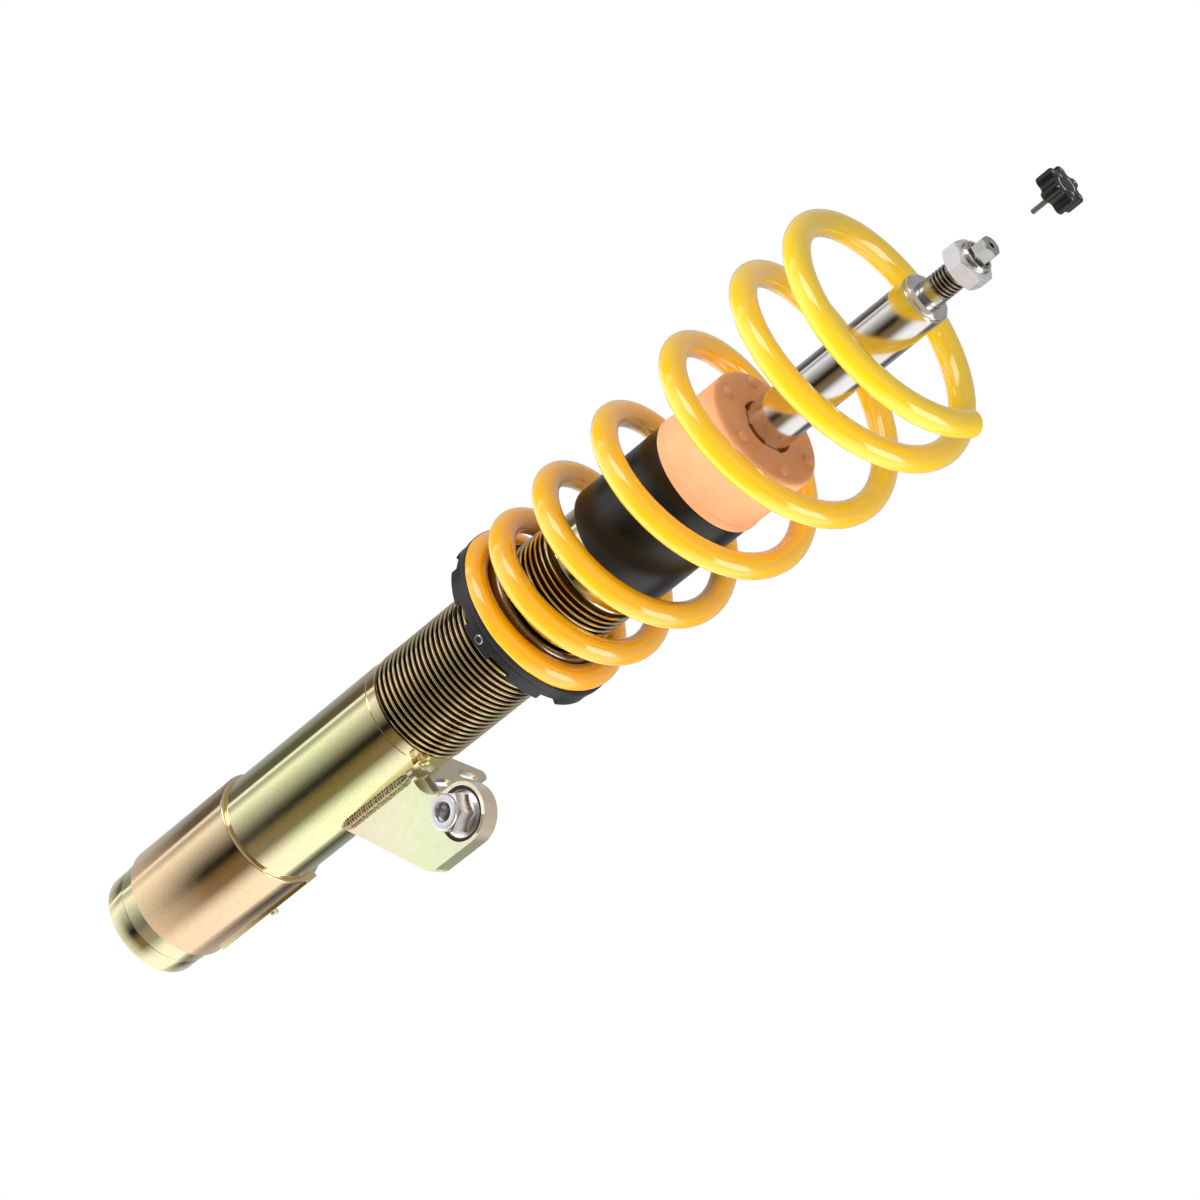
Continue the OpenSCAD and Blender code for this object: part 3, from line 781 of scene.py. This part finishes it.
def make_knob():
    """Moulded knob with six lobes."""
    z0, face = foot("adjuster_knob"), top("adjuster_knob") - 0.06
    middle, swing, lobes = 8.05, 1.25, 6

    def layer(grow, z):
        def at(angle):
            wave = math.cos(lobes * (angle - LOBE_ANGLE))
            return middle + swing * math.copysign(abs(wave) ** 0.6, wave) + grow, z
        return at

    layers = [layer(-0.8, z0), layer(-0.2, z0 + 0.25), layer(0, z0 + 0.8), layer(0, face - 0.8),
              layer(-0.12, face - 0.4), layer(-0.4, face - 0.12), layer(-0.8, face), (1.0, face)]
    add_piece("adjuster_knob_moulded", loft(layers, 144), "knob", "black_plastic", "adjuster_knob")
    make_knob_marks(face)


def make_knob_marks(z):
    """Generic printed marks: two curved arrows, a plus, a minus and a tick on each lobe."""
    bm = bmesh.new()
    height, arrow_r, stroke = 0.03, 4.3, 0.5
    base = z - 0.01

    def patch(points):
        skin(bm, [[bm.verts.new((x, y, level)) for x, y in points] for level in (base, base + height)], caps=True)

    def band(r, width, a0, a1):
        steps = 14
        patch(arc_points((0, 0), r + width / 2, a0, a1, steps) + arc_points((0, 0), r - width / 2, a1, a0, steps))

    def head(r, a):
        a = math.radians(a)
        sides = [((r + d) * math.cos(a), (r + d) * math.sin(a)) for d in (-0.6, 0.6)]
        patch([(r * math.cos(a + 0.28), r * math.sin(a + 0.28)), *sides])

    def bar(x, y, w, h):
        patch([(x - w / 2, y - h / 2), (x + w / 2, y - h / 2), (x + w / 2, y + h / 2), (x - w / 2, y + h / 2)])

    for start in (25, 205):
        band(arrow_r, stroke, start, start + 75)
        head(arrow_r, start + 75)
    bar(-4.1, 0.9, 1.7, 0.45)
    bar(4.1, -0.9, 1.7, 0.45)
    bar(4.1, -0.9, 0.45, 1.7)
    for i in range(6):
        way = LOBE_ANGLE + TURN * i / 6
        along, across = Vector((math.cos(way), math.sin(way))), Vector((-math.sin(way), math.cos(way)))
        patch([tuple(along * r + across * w) for r, w in ((6.6, -0.22), (8.0, -0.22), (8.0, 0.22), (6.6, 0.22))])
    add_piece("knob_marks", close_mesh(bm), "knob", "black_plastic", material="marking_paint")


# ---------------------------------------------------------------- bump stop

def make_bump_stop():
    """Moulded foam stop: six domed nubs on a soft-edged top, four pockets round its bore, a lip at its foot
    and a neck inside the dust tube."""
    z_low = foot("bump_stop")
    tube_top = top("dust_tube")
    body_top = top("bump_stop") - 2.0
    r = radius("bump_stop") - 0.4
    bore, lip_r, waist_r = ROD_R + 0.3, 18, 15.9
    pocket_r, pocket_z, pocket_turn, pocket_half = 12.3, body_top - 6.0, math.radians(-2), math.radians(26)

    def opening(z):
        def at(angle):
            away = (angle - pocket_turn + math.pi / 4) % (math.pi / 2) - math.pi / 4
            return (pocket_r if abs(away) < pocket_half else bore), z
        return at

    wall = round_corners([(bore, z_low), (lip_r, z_low), (lip_r, tube_top - 2.7), (waist_r, tube_top - 2.7),
                          (waist_r, tube_top + 0.05), (r + 0.35, tube_top + 0.05), (r + 0.35, tube_top + 3.6),
                          (r, tube_top + 4.6), (r + 0.1, body_top - 14), (r, body_top), (r - 6, body_top)],
                         [0, 0.6, 0.2, 0.2, 0.3, 1.2, 1.0, 1.2, 30, 2.2, 0], 6)
    mouth = [(13, body_top), opening(body_top - 0.15), opening(pocket_z), (bore, pocket_z - 0.1)]
    bm = bmesh.new()
    loft_into(bm, wall + mouth, 240, True)
    nub_at, nub_r, sunk = 21.8, 2.9, 0.9
    dome = arc_points((0.001, 0), nub_r, -60, 90, 15)
    for i in range(6):
        way = math.radians(22.5 + 60 * i)
        place = Matrix.Translation((nub_at * math.cos(way), nub_at * math.sin(way), body_top - sunk))
        loft_into(bm, dome, 36, False, place)
    piece = add_piece("bump_stop_foam", close_mesh(bm), "bumper", "bump_foam", "bump_stop", sharp=50)


def make_dust_tube():
    z0, z1 = foot("dust_tube"), top("dust_tube")
    r, wall, neck = radius("dust_tube"), 2.2, 16.05
    points = [(r - wall, z0), (r, z0), (r, z1), (neck, z1), (neck, z1 - 2.5), (r - wall, z1 - 2.5)]
    add_piece("dust_tube_shell", lathe(points, [0.3, 1.8, 0.5, 0.2, 0.2, 0.8], steps=6),
              "bumper", "black_plastic", "dust_tube")


# ---------------------------------------------------------------- spring and its seat

def make_spring_seat():
    """Black flange under the spring, and the polished hub that centres it."""
    z0, z1 = foot("spring_seat"), top("spring_seat")
    r = radius("spring_seat")
    bore, hub = TUBE_R + 0.3, 29.0
    flange = [(bore, z0), (r, z0), (r, SEAT_Z), (bore, SEAT_Z)]
    add_piece("spring_seat_flange", lathe(flange, [0.3, 0.4, 0.4, 0], 160),
              "seat", "black_alloy", "spring_seat")
    ring = [(bore, SEAT_Z), (hub, SEAT_Z), (hub, z1), (bore, z1)]
    add_piece("spring_seat_hub", lathe(ring, [0, 0.2, 2.0, 0.4], 160, steps=6),
              "seat", "black_alloy", material="polished_alloy")


def make_collar():
    """Castellated ring: notches are cut into its lower face."""
    z0, z1 = foot("adjusting_collar"), top("adjusting_collar")
    r, bore, ease, depth = 39.6, TUBE_R + 0.3, 0.4, 3.0
    notches, notch, notch_steps, lug_steps = 9, math.radians(16.0), 6, 10
    pitch = TURN / notches
    edges = []
    for i in range(notches):
        centre = SCREW_ANGLE + (i + 0.5) * pitch
        edges += [(centre - notch / 2 + notch * k / notch_steps, True) for k in range(notch_steps)]
        edges += [(centre + notch / 2 + (pitch - notch) * k / lug_steps, False) for k in range(lug_steps)]
    bm = bmesh.new()

    def ring_at(angle, low):
        profile = [(bore, low), (bore, z1), (r - ease, z1), (r, z1 - ease), (r, low + ease), (r - ease, low)]
        return [turned(bm, q, z, angle) for q, z in profile]

    slices = [(ring_at(angle, z0), ring_at(angle, z0 + depth)) for angle, _ in edges]
    for i, (_, cut) in enumerate(edges):
        skin(bm, [slices[i][cut], slices[(i + 1) % len(edges)][cut]])
        if edges[i - 1][1] != cut:
            deep, shallow = slices[i]
            bm.faces.new((deep[0], shallow[0], shallow[5], deep[5]))
            bm.faces.new((deep[5], shallow[5], shallow[4], deep[4]))
    add_piece("adjusting_collar_ring", close_mesh(bm), "collar", "black_alloy", "adjusting_collar")


def make_clamp_screw():
    """Grub screw with a hexagon socket."""
    low, high = box("clamp_screw")
    r, inner, outer, socket = 2.3, TUBE_R + 1.8, 39.75, 3.0
    length = outer - inner
    place = (Matrix.Rotation(SCREW_ANGLE, 4, "Z") @ Matrix.Translation((inner, 0, (low.z + high.z) / 2))
             @ Matrix.Rotation(math.pi / 2, 4, "Y"))
    layers = [(0.01, 0), (r, 0), (r, length - 0.5), (r - 0.5, length), (r - 0.8, length),
              lambda a: (hex_radius(2.4, a), length), lambda a: (hex_radius(2.3, a), length - socket),
              (0.01, length - socket)]
    add_piece("collar_grub_screw", loft(layers, 72, place), "collar", "bright_steel", "clamp_screw")


# Tables of (turn, value): the spring's rise per turn, and how much its radius grows per turn
RISE = [(0, 4.4), (0.35, 10), (1.6, 28), (3.35, 43.5), (4.2, 45), (4.65, 39), (4.95, 44), (5.3, 50), (5.7, 34),
        (6.15, 24), (6.85, 20)]
FLARE = [(0.95, 0), (1.35, 3.6), (4.95, 3.8), (5.95, 0)]


def area(table, t):
    """Area under a table of (turn, value) from its first turn up to t."""
    total = 0.0
    for (a, low), (b, high) in zip(table, table[1:]):
        x = min(max(t, a), b)
        total += (x - a) * (low + low + (high - low) * (x - a) / (b - a)) / 2
    return total


def make_spring():
    """The wire follows a centreline of edges, and geometry nodes sweep it, so it stays round as the spring flattens.
    Its first turn starts low enough for the seat's plane to cut into it."""
    turns, per_turn, wire_r, coil_r, sunk = 6.8, 72, 5.5, 34.65, 4.12
    start = math.radians(54)
    count = round(turns * per_turn)
    verts = []
    for i in range(count + 1):
        t = turns * i / count
        r, z, a = coil_r + area(FLARE, t), SEAT_Z - sunk + area(RISE, t), start + TURN * t
        verts.append((r * math.cos(a) * MM, r * math.sin(a) * MM, z * MM))
    mesh = bpy.data.meshes.new("road_spring")
    mesh.from_pydata(verts, [(i, i + 1) for i in range(count)], [])
    mesh.materials.append(MATERIALS["spring_coat"])
    piece = placed("road_spring", mesh)
    sweep_modifier(piece, wire_r * MM, SEAT_Z * MM)
    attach(piece, "seat")
    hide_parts("coil_spring")
    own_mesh(piece)


def sweep_modifier(piece, wire_r, ground):
    """Sweeps a round wire along the mesh's edges and grinds it flat on the seat."""
    tree = bpy.data.node_groups.new("wire_sweep", "GeometryNodeTree")
    for way in ("INPUT", "OUTPUT"):
        tree.interface.new_socket("Geometry", in_out=way, socket_type="NodeSocketGeometry")
    n = Nodes(tree)
    source = n.add("NodeGroupInput")
    line = n.add("GeometryNodeMeshToCurve", {"Mesh": source.outputs[0]})
    circle = n.add("GeometryNodeCurvePrimitiveCircle", {"Resolution": 32, "Radius": wire_r})
    wire = n.add("GeometryNodeCurveToMesh",
                 {"Curve": line.outputs["Curve"], "Profile Curve": circle.outputs["Curve"], "Fill Caps": True})
    at = n.parts(n.add("GeometryNodeInputPosition").outputs[0])
    flat = n.add("ShaderNodeCombineXYZ", {"X": at["X"], "Y": at["Y"], "Z": n.math("MAXIMUM", at["Z"], ground)})
    ground_off = n.add("GeometryNodeSetPosition", {"Geometry": wire.outputs["Mesh"], "Position": flat.outputs[0]})
    smooth = n.add("GeometryNodeSetShadeSmooth", {"Geometry": ground_off.outputs["Geometry"]})
    angle = n.add("GeometryNodeInputMeshEdgeAngle").outputs["Unsigned Angle"]
    steep = n.add("FunctionNodeCompare", {0: angle, 1: 0.6}, data_type="FLOAT", operation="GREATER_THAN").outputs[0]
    edges = n.add("GeometryNodeSetShadeSmooth",
                  {0: smooth.outputs["Geometry"], "Selection": steep, "Shade Smooth": False}, domain="EDGE")
    coated = n.add("GeometryNodeSetMaterial", {"Geometry": edges.outputs[0], "Material": MATERIALS["spring_coat"]})
    n.add("NodeGroupOutput", {0: coated.outputs["Geometry"]})
    piece.modifiers.new("wire_sweep", "NODES").node_group = tree


# ---------------------------------------------------------------- carried-over CAD nodes

def dress_cad_nodes():
    """Every CAD node gets its slot's material."""
    slots = {row["node"]: row["material_slot"] for row in frame["record"]["subparts"]}
    for name, node in frame["nodes"].items():
        node.data.materials.clear()
        node.data.materials.append(MATERIALS[slots[name]])


# ---------------------------------------------------------------- studio

def make_floor():
    """White ground that only the camera sees."""
    mesh = bpy.data.meshes.new("studio_floor")
    size = 12.0
    mesh.from_pydata([(-size, -size, 0), (size, -size, 0), (size, size, 0), (-size, size, 0)], [], [(0, 1, 2, 3)])
    floor = placed("studio_floor", mesh)
    floor.location.z = -0.0005
    material = bpy.data.materials.new("studio_floor")
    n = empty_nodes(material)
    glow = n.add("ShaderNodeEmission", {"Color": (1, 1, 1, 1), "Strength": 1.0})
    n.add("ShaderNodeOutputMaterial", {"Surface": glow.outputs[0]})
    mesh.materials.append(material)
    for ray in ("diffuse", "glossy", "transmission", "shadow"):
        setattr(floor, "visible_" + ray, False)


def make_world():
    """A round studio: tall white panels with brown gaps between them, a glowing table and a dim ceiling."""
    world = bpy.data.worlds.new("studio")
    bpy.context.scene.world = world
    n = empty_nodes(world)
    way = n.parts(n.add("ShaderNodeTexCoord").outputs["Generated"])
    share = n.line(n.math("ARCTAN2", way["Y"], way["X"]), 1 / TURN, 0.5)
    height = n.line(way["Z"], 0.5, 0.5)

    def level(value, warm):
        return (value, value * (1 - 0.2 * warm), value * (1 - 0.5 * warm))

    # Direction in degrees round from +X, brightness and warmth of the studio's wall
    panels = [(-180, 0.46, 0), (-174, 0.46, 0), (-162, 1.1, 0), (-150, 0.84, 0), (-138, 0.56, 0), (-126, 0.36, 0.2),
              (-114, 0.13, 0.4), (-104, 0.015, 0.5), (-98, 0.015, 0.6), (-88, 0.15, 1.4), (-78, 0.22, 1.4),
              (-64, 0.22, 0.9), (-54, 0.56, 0.2), (-42, 1.0, 0), (-30, 1.2, 0), (8, 1.2, 0), (13, 0.6, 0),
              (18, 0.33, 0), (28, 0.08, 0.3), (42, 0.20, -0.3), (54, 0.30, -0.5), (78, 0.38, -0.5), (102, 0.46, -0.5),
              (114, 0.39, -0.5), (138, 0.27, 0), (150, 0.13, 0.6), (170, 0.10, 0.6), (172, 1.1, 0), (177, 1.1, 0),
              (180, 0.46, 0)]
    walls = n.ramp(share, [((a + 180) / 360, level(v, w)) for a, v, w in panels])
    # Direction and brightness of the lit strips above the wall
    strips = [(-180, 0.4), (-172, 3.0), (-152, 3.0), (-146, 0.3), (-60, 0.1), (-34, 0.3), (-28, 3.2), (0, 3.2),
              (8, 0.4), (180, 0.4)]
    upper = n.ramp(share, [((a + 180) / 360, v) for a, v in strips])
    light = n.mix(n.ramp(height, [(0.58, 0), (0.61, 1)]), walls, upper)
    light = n.mix(n.ramp(height, [(0.10, 1), (0.20, 0)]), light, (1.2, 1.18, 1.14, 1))
    light = n.mix(n.ramp(height, [(0.84, 0), (0.87, 1)]), light, (0.55, 0.53, 0.5, 1))
    wash = n.ramp(height, [(0.0, (2.1, 2.1, 2.08)), (0.5, (1.9, 1.88, 1.85)), (0.72, (0.75, 0.75, 0.74)), (1.0, 0.3)])
    studio, soft, white = (n.add("ShaderNodeBackground", {"Color": colour, "Strength": 1.0}).outputs[0]
                           for colour in (light, wash, (1, 1, 1, 1)))
    path = n.add("ShaderNodeLightPath").outputs
    lit = n.add("ShaderNodeMixShader", {0: path["Is Diffuse Ray"], 1: studio, 2: soft})
    both = n.add("ShaderNodeMixShader", {0: path["Is Camera Ray"], 1: lit.outputs[0], 2: white})
    n.add("ShaderNodeOutputWorld", {"Surface": both.outputs[0]})


def make_studio():
    make_floor()
    make_world()
    scene = bpy.context.scene
    scene.view_settings.view_transform = "Standard"
    scene.view_settings.look = "None"


# ---------------------------------------------------------------- the scene

make_camera()
make_materials()
dress_cad_nodes()
make_foot_cap()
make_strut_tube()
make_clamp_sleeve()
make_locating_strip()
make_link_bracket()
make_weld()
make_link_nut()
make_line_bracket()
make_rod()
make_washer()
make_top_nut()
make_knob()
make_bump_stop()
make_dust_tube()
make_spring_seat()
make_collar()
make_clamp_screw()
make_spring()
make_studio()
